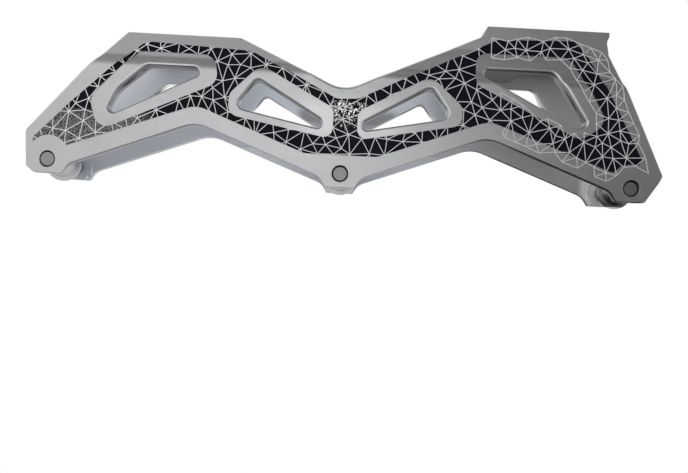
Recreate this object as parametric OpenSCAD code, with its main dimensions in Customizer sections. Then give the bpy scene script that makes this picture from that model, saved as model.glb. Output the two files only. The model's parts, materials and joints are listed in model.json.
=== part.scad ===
// Inline skate frame for three large wheels, with its axle bolts and bearing spacers.
// Millimetres. +X points to the heel, +Z up, and the printed side wall faces -Y.
// The origin is the centre of the front boot bolt slot, on the top of the front deck.
// Shapes are drawn from the middle axle and moved to that place at the end.

/* [Axles] */
// Distance between neighbouring axles
axle_pitch = 128; // [124:1:136]
// Diameter of the axle shank
axle_d = 8; // [6:0.5:9]
// Diameter over the thread at the end of the axle
thread_d = 7.2; // [5.5:0.1:7.2]
// Length of the thread
thread_l = 8.5; // [7:0.5:10]
// Pitch of the thread ridges
thread_pitch = 1; // [0.8:0.05:1.25]
// Depth of the thread ridges
thread_depth = 0.35; // [0.2:0.05:0.5]
// Diameter of the axle head
head_d = 9.6; // [9.4:0.1:11]
// Length of the straight part of the axle head
head_l = 2.6; // [2:0.1:3.2]
// Length of the cone under the axle head
head_cone_l = 1.6; // [1:0.1:2]
// Width across flats of the hex socket in the head
socket_af = 4; // [3:0.5:5]
// Depth of the hex socket
socket_depth = 3; // [2:0.5:4]
// Running clearance round a shaft, on the radius
fit = 0.05; // [0.03:0.01:0.09]
// Clearance round the axle head in its seat
seat_clear = 0.25; // [0.2:0.05:0.4]
// How far the axle head stands proud of the wall
head_proud = 1.6; // [1:0.1:2]

/* [Bearing spacers] */
// Length of a spacer between two bearings
spacer_l = 10.2; // [8:0.1:11]
// Diameter of the spacer's flange
flange_d = 16; // [14:0.5:18]
// Thickness of the flange at its rim
flange_t = 2; // [1.5:0.1:3]
// Diameter of the spacer at its ends
spacer_end_d = 9.5; // [9.5:0.1:12]
// Diameter of the spacer's cone where it meets the flange
spacer_root_d = 12.6; // [11:0.1:13.5]

/* [Feet] */
// Height of the axle line over the foot bottoms
foot_drop = 6; // [5.5:0.1:9]
// Length of the flat under each foot
foot_flat = 12.6; // [10:0.2:14]
// Distance from an axle to the root of the lower rail
rail_root_x = 9; // [8.5:0.1:12]
// Height of the lower rail's root below the axle line
rail_root_drop = 1.6; // [1:0.1:4]
// Height of the arch between two feet over the axle line
arch_h = 19.2; // [14:0.1:20]
// Length of the nose ahead of the front axle
nose_l = 11; // [9:0.1:12]
// Height of the blunt nose over the axle line
nose_h = 12.4; // [8:0.1:14]
// Drop of the nose's lower corner under the axle line
nose_drop = 3.2; // [2:0.1:4]
// How far the nose's lower corner lies behind its tip
nose_lean = 1; // [0:0.1:2]
// Length of the tail behind the rear axle
tail_l = 13.4; // [11:0.1:16]
// Height of the tail corner over the axle line
tail_h = 5; // [3:0.1:8]

/* [Decks] */
// Height of the front deck over the axle line
front_deck_h = 57.5; // [55:0.1:60]
// Height of the rear deck over the front deck
heel_lift = 10.8; // [9:0.1:13]
// Width of both decks
deck_w = 33; // [31:0.5:36]
// Length of the front deck
front_deck_l = 49.5; // [46:0.5:56]
// Length of the rear deck
rear_deck_l = 53.8; // [48:0.2:60]
// Thickness of both decks
deck_t = 6; // [4:0.1:7]
// Length of the open bay between the decks, centred on the middle axle
bay_l = 92.5; // [80:0.5:100]
// Length of the step ahead of and under the rear deck
step_l = 33.5; // [25:0.5:40]
// Distance between the two boot bolt slots
slot_pitch = 165; // [155:1:175]
// Distance from the middle axle forward to the front bolt slot
front_slot_x = 76.3; // [72:0.1:78]
// Width of a bolt slot
slot_w = 8; // [6:0.5:9]
// Length of a bolt slot, across the frame
slot_l = 21; // [16:0.5:23]
// Lowest point of the saddle between the decks, over the axle line, before rounding
saddle_h = 36.2; // [32:0.1:38]

/* [Side walls] */
// Width over the walls at the axle line
foot_w = 35.5; // [34:0.1:37]
// Width over the walls at the crease, where they are widest
crease_w = 40; // [39:0.5:42]
// Height of the crease over the axle line
crease_h = 43.2; // [42:0.1:46]
// Height from the crease to the end of the shoulder over it
shoulder_h = 3.4; // [2.5:0.1:5]
// How far the wall draws in over the shoulder
shoulder_in = 2; // [1:0.1:2.5]
// Clear width between the walls under the decks
inner_w = 25.5; // [25:0.1:26]
// Clear width between the walls at the feet
inner_foot_w = 28.5; // [28:0.1:29]
// Clear width between the axle bosses
hub_gap = 24.5; // [24:0.1:24.8]
// Diameter of an axle boss at its face
boss_d = 14; // [12:0.5:15]
// Diameter of an axle boss at its foot
boss_root_d = 18; // [16:0.5:19]
// Width over the walls at the tip of the nose
nose_w = 30.6; // [30:0.1:32]
// Distance behind the tip over which the nose widens
nose_taper_l = 26; // [20:1:30]
// Height of the hollow that runs inside each wall
hollow_h = 9; // [6:0.5:10]
// Thickness of that hollow
hollow_t = 2.5; // [1.5:0.1:3]

/* [Wheels and print] */
// Diameter of the wheels that the frame takes
wheel_d = 125; // [110:1:125]
// Clearance between a wheel and the decks
wheel_clear = 1; // [0.5:0.1:1]
// Thickness of the printed film
film_t = 0.2; // [0.1:0.05:0.3]
// Radius of the bare round at each axle hole
hole_band_r = 10.5; // [9:0.5:13]

/* [Hidden] */
$fn = 64;

// Places along the frame, from the middle axle
front_x = -axle_pitch;
rear_x = axle_pitch;
axle_xs = [front_x, 0, rear_x];
nose_x = front_x - nose_l;
tail_x = rear_x + tail_l;
front_deck_rear = -bay_l / 2;
front_deck_front = front_deck_rear - front_deck_l;
rear_slot_x = slot_pitch - front_slot_x;
rear_deck_front = rear_slot_x - rear_deck_l / 2;
rear_deck_rear = rear_slot_x + rear_deck_l / 2;
step_front = bay_l / 2;
step_rear = step_front + step_l;

// Heights over the axle line
rear_deck_h = front_deck_h + heel_lift;
// Bevel at the front of the rear deck, along and up
deck_bevel = [2.7, 4.8];
// Lip at the back of the rear deck: its depth, the hollow under it and where that ends
lip_h = 2;
lip_in = 1;
lip_neck = 4.3;
lip_end = 9.3;
// Small corner at the tail and the drop below it
tail_break = [0.8, 2.2];

// Extra length that lets a cut run past what it cuts
over = 5;
frame_l = tail_x - nose_x;
cut_w = crease_w + 2 * over;
// Largest turn between two points of a rounded corner, in degrees
arc_step = 9;
// Radius of the bends at the crease and over the shoulder
crease_r = 6;

// Axle, from its threaded tip to the end of its head
// How far the thread's tip stays inside the wall face at the tapered nose
tip_in = 0.3;
nose_half_at_axle = nose_w / 2 + (crease_w - nose_w) / 2 * nose_l / nose_taper_l;
tip_y = -(min(foot_w / 2, nose_half_at_axle) - tip_in);
head_end_y = foot_w / 2 + head_proud;
axle_l = head_end_y - tip_y;
tip_chamfer = 0.7;
edge_break = 0.4;
// Thread-lock patch: where it starts from the tip, its length and its width
patch_start = 1.2;
patch_l = 4;
patch_w = 3.2;

// Side outline, counter-clockwise from the front foot, as [x, z, corner radius]
outline = [
    [nose_x + nose_lean, -nose_drop, 1],
    [front_x - foot_flat / 2, -foot_drop, 1],
    each foot_right(front_x),
    [front_x / 2, arch_h, 15],
    each foot_left(0),
    each foot_right(0),
    [rear_x / 2, arch_h, 15],
    each foot_left(rear_x),
    [rear_x + foot_flat / 2, -foot_drop, 1],
    [tail_x - tail_break.x, tail_h - tail_break.y / 2, 1],
    [tail_x, tail_h + tail_break.y / 2, 1],
    [rear_deck_rear, rear_deck_h - lip_end, 4],
    [rear_deck_rear - lip_in, rear_deck_h - lip_neck, 2.5],
    [rear_deck_rear, rear_deck_h - lip_h, 0.5],
    [rear_deck_rear, rear_deck_h, 0.5],
    [rear_deck_front, rear_deck_h, 0.5],
    [rear_deck_front - deck_bevel.x, rear_deck_h - deck_bevel.y, 2],
    [0, saddle_h, 15],
    [front_deck_rear, front_deck_h, 1],
    [front_deck_front, front_deck_h, 0.8],
    [nose_x, nose_h, 2]
];
function foot_right(x) = [
    [x + foot_flat / 2, -foot_drop, 0.8],
    [x + rail_root_x, -rail_root_drop, 8]
];
function foot_left(x) = [
    [x - rail_root_x, -rail_root_drop, 8],
    [x - foot_flat / 2, -foot_drop, 0.8]
];

// Tops of the windows, which hang from the decks
front_top = front_deck_h - 14.7;
middle_top = front_deck_h - 17.7;
rear_top = rear_deck_h - 19.3;
// Windows in the walls, counter-clockwise from an axle, as [x, z, corner radius]
front_window = [
    [23.2, 18.7, 3],
    [65.3, front_top - 3.1, 2],
    [63.8, front_top, 2],
    [42, front_top, 4],
    [29.2, 31.6, 12]
];
middle_window = [[-48, 26.7, 3], [-9.4, 19.1, 2], [-8.8, 22.9, 2], [-38.1, middle_top, 3]];
rear_window = [
    [-67, rear_top - 3.7, 1.7],
    [-24.6, 24.5, 3],
    [-20.8, 26.8, 3.5],
    [-36, rear_top, 5],
    [-66.6, rear_top, 1.7]
];
windows = [
    moved(front_window, front_x),
    middle_window,
    mirrored(middle_window),
    moved(rear_window, rear_x)
];
// Bare bands round the windows, which the print leaves free, in the same form
front_bare = [
    [21.2, 12.9, 7],
    [73.2, front_top - 6.5, 6],
    [71.5, front_top + 6.2, 7],
    [38.5, front_top + 6.2, 6],
    [17.8, 27.8, 7]
];
second_bare = [[-50.2, 23.1, 5], [-4.2, 14.7, 4], [-4, 28, 5], [-36.5, middle_top + 5.4, 6], [-49.8, 32.2, 5]];
third_bare = [[6.6, 14.8, 4], [52.3, 23.3, 5], [51.8, 31.6, 5], [37.6, middle_top + 4.2, 6], [6.4, 27.2, 5]];
rear_bare = [
    [-71, rear_top - 7.4, 4],
    [-24, 19.6, 6],
    [-12.2, 27.5, 6],
    [-29.5, rear_top + 7.2, 7],
    [-70.8, rear_top + 7.2, 5]
];
bare_bands = [
    moved(front_bare, front_x),
    second_bare,
    third_bare,
    moved(rear_bare, rear_x)
];

// Edge of the print on the side wall, counter-clockwise, as [x, z, corner radius]
print_edge = [
    each moved([[-7.5, 6.2, 0], [8.4, 6.2, 4]], front_x),
    [front_x / 2, arch_h + 7.2, 12],
    [-16, 8, 8],
    [16, 8, 8],
    [rear_x / 2, arch_h + 6.8, 12],
    each moved([[-8, 6.2, 3], [-5.6, 9.4, 2], [2.4, 10, 1], [3.8, 12.4, 1]], rear_x),
    [rear_x - 18, rear_deck_h - 17.7, 10],
    [rear_x - 22, rear_deck_h - 10.8, 5],
    [rear_x - 28, rear_deck_h - 4.8, 2],
    [rear_deck_front + 4.6, rear_deck_h - 5.9, 4],
    [6.5, saddle_h - 3.5, 6],
    [-3, saddle_h - 4, 6],
    [front_deck_rear + 5, front_deck_h - 5.9, 8],
    [front_deck_front + 8.3, front_deck_h - 4, 8],
    [nose_x + 4, nose_h - 2.9, 1]
];

// Outlines: a rounded corner becomes an arc, and every outline is a plain list of points.
function flat(p) = [p.x, p.y];
function unit(v) = v / norm(v);
function moved(corners, x) = [for (c = corners) [c.x + x, c.y, c.z]];
function mirrored(corners) = [for (i = [len(corners) - 1:-1:0]) [-corners[i].x, corners[i].y, corners[i].z]];
function turned(v, angle) = [v.x * cos(angle) - v.y * sin(angle), v.x * sin(angle) + v.y * cos(angle)];
function corner_arc(before, here, after, r) =
    let (
        a = unit(before - here),
        b = unit(after - here),
        half = acos(min(1, max(-1, a * b))) / 2,
        room = 0.48 * min(norm(before - here), norm(after - here)),
        reach = min(r / tan(half), room),
        centre = here + unit(a + b) * reach / cos(half),
        first = here + a * reach - centre,
        sweep = (180 - 2 * half) * sign(cross(b, a)),
        steps = max(2, ceil(abs(sweep) / arc_step))
    )
    [for (i = [0:steps]) centre + turned(first, sweep * i / steps)];
function rounded(corners) = [
    for (i = [0:len(corners) - 1])
        let (
            n = len(corners),
            here = corners[i],
            before = corners[(i + n - 1) % n],
            after = corners[(i + 1) % n]
        )
        each (here.z == 0 ? [flat(here)] : corner_arc(flat(before), flat(here), flat(after), here.z))
];

// Half widths of the wall's outer face at the heights where it bends
function outer_half(z) = foot_w / 2 + (crease_w - foot_w) / 2 * z / crease_h;
// Heights where the inner face bends, from the foot up to the flat upper part
inner_bend = [14, 30];

// Half of the outer section, as [y, z] from the bottom up, with its face moved out by skin
function outer_side(skin) = [
    [outer_half(-foot_drop - over) + skin, -foot_drop - over, 0],
    [crease_w / 2 + skin, crease_h, crease_r],
    [crease_w / 2 - shoulder_in + skin, crease_h + shoulder_h, crease_r],
    [deck_w / 2 + skin, front_deck_h, 8],
    [deck_w / 2 + skin, rear_deck_h + over, 0]
];
// Half of the section of the space between the walls
inner_side = [
    [inner_foot_w / 2, -foot_drop - 2 * over, 0],
    [inner_foot_w / 2, inner_bend[0], 8],
    [inner_w / 2, inner_bend[1], 8],
    [inner_w / 2, rear_deck_h + 2 * over, 0]
];
function whole(side) = rounded(concat(side, mirrored(side)));

// Extrude an outline in x and z along y, or an outline in y and z along x
module across(points, w) {
    rotate([90, 0, 0])
        linear_extrude(height = w, center = true)
            polygon(points);
}
module along(points) {
    translate([nose_x - over, 0, 0])
        rotate([90, 0, 90])
            linear_extrude(height = frame_l + 2 * over)
                polygon(points);
}
// A round bar along y between two places, straight or tapered
module bar(x, y0, y1, d0, d1) {
    translate([x, y0, 0])
        rotate([-90, 0, 0])
            cylinder(h = y1 - y0, d1 = d0, d2 = d1);
}
module both_sides() {
    children();
    mirror([0, 1, 0]) children();
}

// Plan of the frame, which narrows towards the tip of the nose
module plan(skin) {
    side = [
        [tail_x + over, crease_w / 2 + over],
        [nose_x + nose_taper_l, crease_w / 2 + over],
        [nose_x + nose_taper_l, crease_w / 2 + skin],
        [nose_x, nose_w / 2 + skin],
        [nose_x - over, nose_w / 2 + skin]
    ];
    other = [for (i = [len(side) - 1:-1:0]) [side[i].x, -side[i].y]];
    translate([0, 0, -foot_drop - over])
        linear_extrude(height = foot_drop + rear_deck_h + 2 * over)
            polygon(concat(side, other));
}
// The whole outer form, with its faces moved out by skin
module outer_form(skin) {
    intersection() {
        along(whole(outer_side(skin)));
        plan(skin);
    }
}
// Lens-shaped hollow inside the wall, between two round faces
module wall_hollow() {
    r = (pow(hollow_h / 2, 2) + pow(hollow_t / 2, 2)) / hollow_t;
    shift = r - hollow_t / 2;
    mid_y = (outer_half(crease_h - hollow_h / 2) + inner_w / 2) / 2;
    mid_z = crease_h - hollow_h / 2 - hollow_t / 2;
    intersection_for (s = [-1, 1])
        translate([nose_x - over, mid_y + s * shift, mid_z])
            rotate([0, 90, 0])
                cylinder(h = frame_l + 2 * over, r = r);
}
module deck_plate(x0, x1, top) {
    translate([x0, -deck_w / 2 + 1, top - deck_t])
        cube([x1 - x0, deck_w - 2, deck_t]);
}
module bolt_slot(x, top) {
    span = slot_l - slot_w;
    translate([x, 0, top - deck_t - over]) {
        for (s = [-1, 1])
            translate([0, s * span / 2, 0])
                cylinder(h = deck_t + 2 * over, d = slot_w);
        translate([-slot_w / 2, -span / 2, 0])
            cube([slot_w, span, deck_t + 2 * over]);
    }
}
module axle_boss(x) {
    bar(x, hub_gap / 2, inner_foot_w / 2 + 1, boss_d, boss_root_d);
}
// Tapped hole in the wall at -Y, plain hole and head seat in the wall at +Y
module axle_hole(x) {
    seat_y = head_end_y - head_l;
    bar(x, -crease_w, 0, thread_d + 2 * fit, thread_d + 2 * fit);
    bar(x, 0, crease_w, axle_d + 2 * fit, axle_d + 2 * fit);
    bar(x, seat_y - head_cone_l, seat_y, axle_d + 2 * seat_clear, head_d + 2 * seat_clear);
    bar(x, seat_y, crease_w, head_d + 2 * seat_clear, head_d + 2 * seat_clear);
}
module wheel_room(x) {
    r = wheel_d / 2 + wheel_clear;
    bar(x, -inner_w / 2, inner_w / 2, 2 * r, 2 * r);
}
module frame_solid() {
    difference() {
        intersection() {
            union() {
                difference() {
                    outer_form(0);
                    along(whole(inner_side));
                    both_sides() wall_hollow();
                }
                both_sides() for (x = axle_xs) axle_boss(x);
                deck_plate(front_deck_front, front_deck_rear, front_deck_h);
                deck_plate(step_front, step_rear, front_deck_h);
                deck_plate(rear_deck_front - deck_bevel.x - 1, rear_deck_rear, rear_deck_h);
            }
            across(rounded(outline), cut_w);
        }
        for (w = windows) across(rounded(w), cut_w);
        bolt_slot(-front_slot_x, front_deck_h);
        bolt_slot(rear_slot_x, rear_deck_h);
        for (x = axle_xs) {
            axle_hole(x);
            wheel_room(x);
        }
    }
}
module placed() {
    translate([front_slot_x, 0, -front_deck_h]) children();
}

module frame_body() {
    color("silver") placed() frame_solid();
}
// The film lies on the outer face of the wall at -Y, inside its printed edge
module side_print() {
    color("#2a2830")
        placed()
            difference() {
                intersection() {
                    outer_form(film_t);
                    translate([0, -cut_w / 2, 0]) across(rounded(print_edge), cut_w);
                }
                outer_form(0);
                for (b = bare_bands) across(rounded(b), cut_w);
                for (x = [front_x, rear_x]) bar(x, -cut_w, 0, 2 * hole_band_r, 2 * hole_band_r);
            }
}

// Half section of the axle, from its threaded tip up to the end of its head
ridges = floor((thread_l - tip_chamfer - thread_pitch) / thread_pitch);
root_r = thread_d / 2 - thread_depth;
axle_profile = [
    [0, 0],
    [root_r - tip_chamfer / 2, 0],
    [root_r, tip_chamfer],
    for (i = [0:ridges - 1])
        let (z = tip_chamfer + i * thread_pitch)
        each [
            [root_r, z + 0.1 * thread_pitch],
            [thread_d / 2, z + 0.4 * thread_pitch],
            [thread_d / 2, z + 0.6 * thread_pitch],
            [root_r, z + 0.9 * thread_pitch]
        ],
    [root_r, thread_l - edge_break],
    [axle_d / 2 - edge_break, thread_l],
    [axle_d / 2, thread_l + edge_break],
    [axle_d / 2, axle_l - head_l - head_cone_l],
    [head_d / 2, axle_l - head_l],
    [head_d / 2, axle_l - edge_break],
    [head_d / 2 - edge_break, axle_l],
    [0, axle_l]
];
module patch_solid() {
    translate([0, 0, patch_start])
        intersection() {
            difference() {
                cylinder(h = patch_l, d = thread_d);
                translate([0, 0, -over]) cylinder(h = patch_l + 2 * over, r = root_r);
            }
            translate([-patch_w / 2, -thread_d, -over])
                cube([patch_w, thread_d, patch_l + 2 * over]);
        }
}
module axle_solid() {
    difference() {
        rotate_extrude() polygon(axle_profile);
        patch_solid();
        translate([0, 0, axle_l - socket_depth])
            cylinder(h = socket_depth + over, d = socket_af / cos(30), $fn = 6);
    }
}
module at_axle(x) {
    placed()
        translate([x, tip_y, 0])
            rotate([-90, 0, 0])
                children();
}
module axle(x) {
    color("#b9bcc2") at_axle(x) axle_solid();
}
module thread_patch(x) {
    color("#2f6fd0") at_axle(x) patch_solid();
}

// Half section of a bearing spacer: a flange between two short cones
module spacer(x) {
    bore_r = axle_d / 2 + fit;
    half = spacer_l / 2;
    rim = flange_t / 2;
    color("#a9acb0")
        placed()
            translate([x, 0, 0])
                rotate([-90, 0, 0])
                    rotate_extrude()
                        polygon([
                            [bore_r, -half],
                            [spacer_end_d / 2, -half],
                            [spacer_root_d / 2, -rim - edge_break],
                            [flange_d / 2 - edge_break, -rim],
                            [flange_d / 2, -rim + edge_break],
                            [flange_d / 2, rim - edge_break],
                            [flange_d / 2 - edge_break, rim],
                            [spacer_root_d / 2, rim + edge_break],
                            [spacer_end_d / 2, half],
                            [bore_r, half]
                        ]);
}

frame_body();
side_print();
axle(front_x);  // front_axle
axle(0);  // middle_axle
axle(rear_x);  // rear_axle
thread_patch(front_x);  // front_thread_patch
thread_patch(0);  // middle_thread_patch
thread_patch(rear_x);  // rear_thread_patch
spacer(front_x);  // front_spacer
spacer(0);  // middle_spacer
spacer(rear_x);  // rear_spacer
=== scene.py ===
# %% [markdown]
# # An inline skate frame in satin aluminium
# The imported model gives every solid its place. This lesson dresses it the way a product photographer
# would: softened metal edges, a printed side, plated hardware, and a plain white studio.

# %% Load the frame
import json
import math
import random
from collections import Counter

import bmesh
import bpy
from mathutils import Matrix, Vector
from mathutils.geometry import delaunay_2d_cdt

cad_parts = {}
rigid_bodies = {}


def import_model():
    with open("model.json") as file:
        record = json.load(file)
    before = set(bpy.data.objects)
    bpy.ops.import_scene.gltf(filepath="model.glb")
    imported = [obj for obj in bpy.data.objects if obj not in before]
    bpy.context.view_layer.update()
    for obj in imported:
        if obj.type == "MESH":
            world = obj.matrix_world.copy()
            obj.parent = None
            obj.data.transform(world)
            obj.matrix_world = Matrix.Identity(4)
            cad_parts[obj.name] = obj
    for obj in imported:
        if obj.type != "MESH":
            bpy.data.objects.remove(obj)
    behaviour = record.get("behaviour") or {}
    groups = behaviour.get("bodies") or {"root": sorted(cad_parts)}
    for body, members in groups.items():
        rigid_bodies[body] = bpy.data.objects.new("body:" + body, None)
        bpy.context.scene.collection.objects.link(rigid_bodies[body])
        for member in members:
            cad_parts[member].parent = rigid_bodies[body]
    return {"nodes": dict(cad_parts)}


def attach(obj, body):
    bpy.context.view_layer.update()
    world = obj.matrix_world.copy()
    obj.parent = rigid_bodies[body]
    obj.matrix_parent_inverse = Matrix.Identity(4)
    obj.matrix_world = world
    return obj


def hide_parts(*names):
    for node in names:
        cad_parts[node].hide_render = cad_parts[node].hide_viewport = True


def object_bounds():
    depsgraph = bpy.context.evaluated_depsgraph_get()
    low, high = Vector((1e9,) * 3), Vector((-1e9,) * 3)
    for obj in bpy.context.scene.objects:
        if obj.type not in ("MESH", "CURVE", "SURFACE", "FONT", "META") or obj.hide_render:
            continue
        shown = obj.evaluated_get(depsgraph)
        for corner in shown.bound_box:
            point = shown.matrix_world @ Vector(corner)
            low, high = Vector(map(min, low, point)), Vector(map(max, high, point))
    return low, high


for leftover in list(bpy.data.objects):
    bpy.data.objects.remove(leftover)
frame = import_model()
cad_low, cad_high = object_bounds()
scene = bpy.context.scene
scene.view_settings.view_transform = "Standard"
MM = 0.001
print("CAD box in mm:", [round(v / MM, 1) for v in cad_high - cad_low])

# %% [markdown]
# ## Where things are
# The drawing measures from the middle axle, as a maker would, but the model's origin is the front bolt
# slot. One helper turns the drawing's millimetres into places in the model, so that every later number can
# be read off the drawing.

# %% Places on the frame
AXLE_PITCH = 128
FRONT_SLOT_X = 76.3
FRONT_DECK_H = 57.5
NOSE_X = -139
NOSE_TAPER_L = 26
NOSE_HALF = 15.3
CREASE_H = 43.2
CREASE_HALF = 20
# Outer face of a side wall from the foot up: height over the axles, half width, and radius of the bend
WALL_BENDS = [
    (-20, 16.71, 0), (CREASE_H, CREASE_HALF, 6), (46.6, 18, 6), (FRONT_DECK_H, 16.5, 8), (80, 16.5, 0),
]
ARC_STEPS = 6
EDGE_SHARE = 0.48


def rounded(corners, closed=True):
    """An outline with rounded corners, as a list of points. A corner's third number is its radius."""
    points = []
    for i, (x, z, r) in enumerate(corners):
        here = Vector((x, z))
        if not r or not closed and i in (0, len(corners) - 1):
            points.append(here)
            continue
        before = Vector(corners[i - 1][:2]) - here
        after = Vector(corners[(i + 1) % len(corners)][:2]) - here
        half_angle = before.angle(after) / 2
        reach = min(r / math.tan(half_angle), EDGE_SHARE * before.length, EDGE_SHARE * after.length)
        first, last = before.normalized() * reach, after.normalized() * reach
        centre = (first + last).normalized() * reach / math.cos(half_angle)
        for step in range(ARC_STEPS + 1):
            spoke = (first - centre).lerp(last - centre, step / ARC_STEPS)
            points.append(here + centre + spoke.normalized() * (first - centre).length)
    return points


WALL_FACE = [(p.x, p.y) for p in rounded(WALL_BENDS, closed=False)]


def row(x, y, z):
    """A place on the drawing, in millimetres from the middle axle, as a place in the model."""
    return Vector(((x + FRONT_SLOT_X) * MM, y * MM, (z - FRONT_DECK_H) * MM))


def wall_half(x, z):
    """Half the width over the two side walls at a place on the drawing."""
    for (z0, h0), (z1, h1) in zip(WALL_FACE, WALL_FACE[1:]):
        if z0 <= z <= z1:
            half = h0 + (h1 - h0) * (z - z0) / (z1 - z0)
            break
    nose = NOSE_HALF + (CREASE_HALF - NOSE_HALF) * (x - NOSE_X) / NOSE_TAPER_L
    return min(half, nose) if x < NOSE_X + NOSE_TAPER_L else half


print("wall half width at the crease:", round(wall_half(0, CREASE_H), 2), "mm")

# %% [markdown]
# ## Shared effects
# Two effects come back in several finishes: a fine grain, and scattered specks. Each is a node group, so it
# is built once and placed in a material with its own scale. The grain gives two noises, a fine one for
# roughness and relief and a broad one for cloudy colour.

# %% Node group for grain


def group_with(name, inputs, outputs):
    group = bpy.data.node_groups.new(name, "ShaderNodeTree")
    for socket, kind, value in inputs:
        made = group.interface.new_socket(socket, in_out="INPUT", socket_type=kind)
        if value is not None:
            made.default_value = value
    for socket, kind in outputs:
        group.interface.new_socket(socket, in_out="OUTPUT", socket_type=kind)
    return group, group.nodes.new("NodeGroupInput"), group.nodes.new("NodeGroupOutput")


def node(tree, kind, **values):
    """A new node. Each value goes to the setting of that name, or else to the input of that name."""
    made = tree.nodes.new(kind)
    for name, value in values.items():
        if hasattr(made, name):
            setattr(made, name, value)
        else:
            made.inputs[name].default_value = value
    return made


grain, given, out = group_with(
    "satin_grain",
    [
        ("Vector", "NodeSocketVector", None),
        ("Fine", "NodeSocketFloat", 3000.0),
        ("Broad", "NodeSocketFloat", 60.0),
    ],
    [("Fine", "NodeSocketFloat"), ("Broad", "NodeSocketFloat")],
)
fine = node(grain, "ShaderNodeTexNoise", Detail=3.0, Roughness=0.6)
broad = node(grain, "ShaderNodeTexNoise", Detail=4.0, Roughness=0.55)
for source, target in [("Fine", fine), ("Broad", broad)]:
    grain.links.new(given.outputs["Vector"], target.inputs["Vector"])
    grain.links.new(given.outputs[source], target.inputs["Scale"])
    grain.links.new(target.outputs["Fac"], out.inputs[source])
print("node group:", grain.name)

# %% [markdown]
# Specks are the peaks of a noise. The more specks are asked for, the lower the level above which the noise
# counts as a speck, and a steep slope at that level gives the specks crisp edges.

# %% Node group for specks
SPECK_LEVEL = 0.78
SPECK_SLOPE = 12.0

specks, given, out = group_with(
    "specks",
    [
        ("Vector", "NodeSocketVector", None),
        ("Scale", "NodeSocketFloat", 1500.0),
        ("Amount", "NodeSocketFloat", 0.3),
    ],
    [("Mask", "NodeSocketFloat")],
)
peaks = node(specks, "ShaderNodeTexNoise", Detail=2.0, Roughness=0.7)
level = node(specks, "ShaderNodeMath", operation="SUBTRACT")
level.inputs[0].default_value = SPECK_LEVEL
above = node(specks, "ShaderNodeMath", operation="SUBTRACT")
crisp = node(specks, "ShaderNodeMath", operation="MULTIPLY", use_clamp=True)
crisp.inputs[1].default_value = SPECK_SLOPE
specks.links.new(given.outputs["Vector"], peaks.inputs["Vector"])
specks.links.new(given.outputs["Scale"], peaks.inputs["Scale"])
specks.links.new(given.outputs["Amount"], level.inputs[1])
specks.links.new(peaks.outputs["Fac"], above.inputs[0])
specks.links.new(level.outputs["Value"], above.inputs[1])
specks.links.new(above.outputs["Value"], crisp.inputs[0])
specks.links.new(crisp.outputs["Value"], out.inputs["Mask"])
print("node group:", specks.name)

# %% [markdown]
# ## Mixing finishes
# Most finishes here are layers: a colour, then other colours that show through masks. A mask comes from
# noise, from which way a face points, or from a region of the frame. A few helpers keep each material short
# enough to read. The first ones start a material and work with plain values.

# %% Helpers for values
NOISE_LOW = 0.3
NOISE_HIGH = 0.7


def new_material(name):
    material = bpy.data.materials.new(name)
    material.use_nodes = True
    return material, material.node_tree, material.node_tree.nodes["Principled BSDF"]


def placed_group(tree, group, vector, **values):
    made = node(tree, "ShaderNodeGroup", node_tree=group, **values)
    tree.links.new(vector, made.inputs["Vector"])
    return made


def feed(tree, socket, value):
    """Link a socket to another one, or set it to a plain number or colour."""
    if isinstance(value, bpy.types.NodeSocket):
        tree.links.new(value, socket)
    else:
        socket.default_value = value


def ramped(tree, value, start, end, low=0.0, high=1.0):
    """A value that goes from low to high while the given one goes from start to end."""
    made = node(tree, "ShaderNodeMapRange")
    for name, number in (("From Min", start), ("From Max", end), ("To Min", low), ("To Max", high)):
        made.inputs[name].default_value = number
    tree.links.new(value, made.inputs["Value"])
    return made.outputs["Result"]


def from_noise(tree, noise, low=0.0, high=1.0):
    """A noise, most of which lies near its middle, spread over a whole range."""
    return ramped(tree, noise, NOISE_LOW, NOISE_HIGH, low, high)


def times(tree, a, b):
    made = node(tree, "ShaderNodeMath", operation="MULTIPLY", use_clamp=True)
    feed(tree, made.inputs[0], a)
    feed(tree, made.inputs[1], b)
    return made.outputs["Value"]


print("a noise counts from", NOISE_LOW, "to", NOISE_HIGH)

# %% [markdown]
# The others make masks, layers and relief. A region is a product of ramps along the axes, so its borders are
# soft, and layers are colours mixed one after another.

# %% Helpers for layers
# Places of factor and colours on a Mix node, where other kinds of data have sockets of the same names
MIX_INPUTS = (0, 6, 7)
MIX_OUTPUT = 2


def mixed(tree, factor, first, second):
    made = node(tree, "ShaderNodeMix", data_type="RGBA")
    for number, value in zip(MIX_INPUTS, (factor, first, second)):
        feed(tree, made.inputs[number], value)
    return made.outputs[MIX_OUTPUT]


def layered(tree, colour, layers):
    """A colour with other colours over it, each of which shows through its own mask."""
    for mask, tone in layers:
        colour = mixed(tree, mask, colour, tone)
    return colour


def region(tree, coords, ramps):
    """A mask for a part of the model. A ramp is an axis and two places on it, in millimetres."""
    mask = 1.0
    for axis, start, end in ramps:
        apart = node(tree, "ShaderNodeSeparateXYZ")
        tree.links.new(coords.outputs["Object"], apart.inputs["Vector"])
        mask = times(tree, mask, ramped(tree, apart.outputs[axis], start * MM, end * MM))
    return mask


def bumped(tree, bsdf, height, strength, distance):
    relief = node(tree, "ShaderNodeBump", Strength=strength, Distance=distance)
    tree.links.new(height, relief.inputs["Height"])
    tree.links.new(relief.outputs["Normal"], bsdf.inputs["Normal"])


print("groups to place in materials:", [g.name for g in bpy.data.node_groups])

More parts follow.
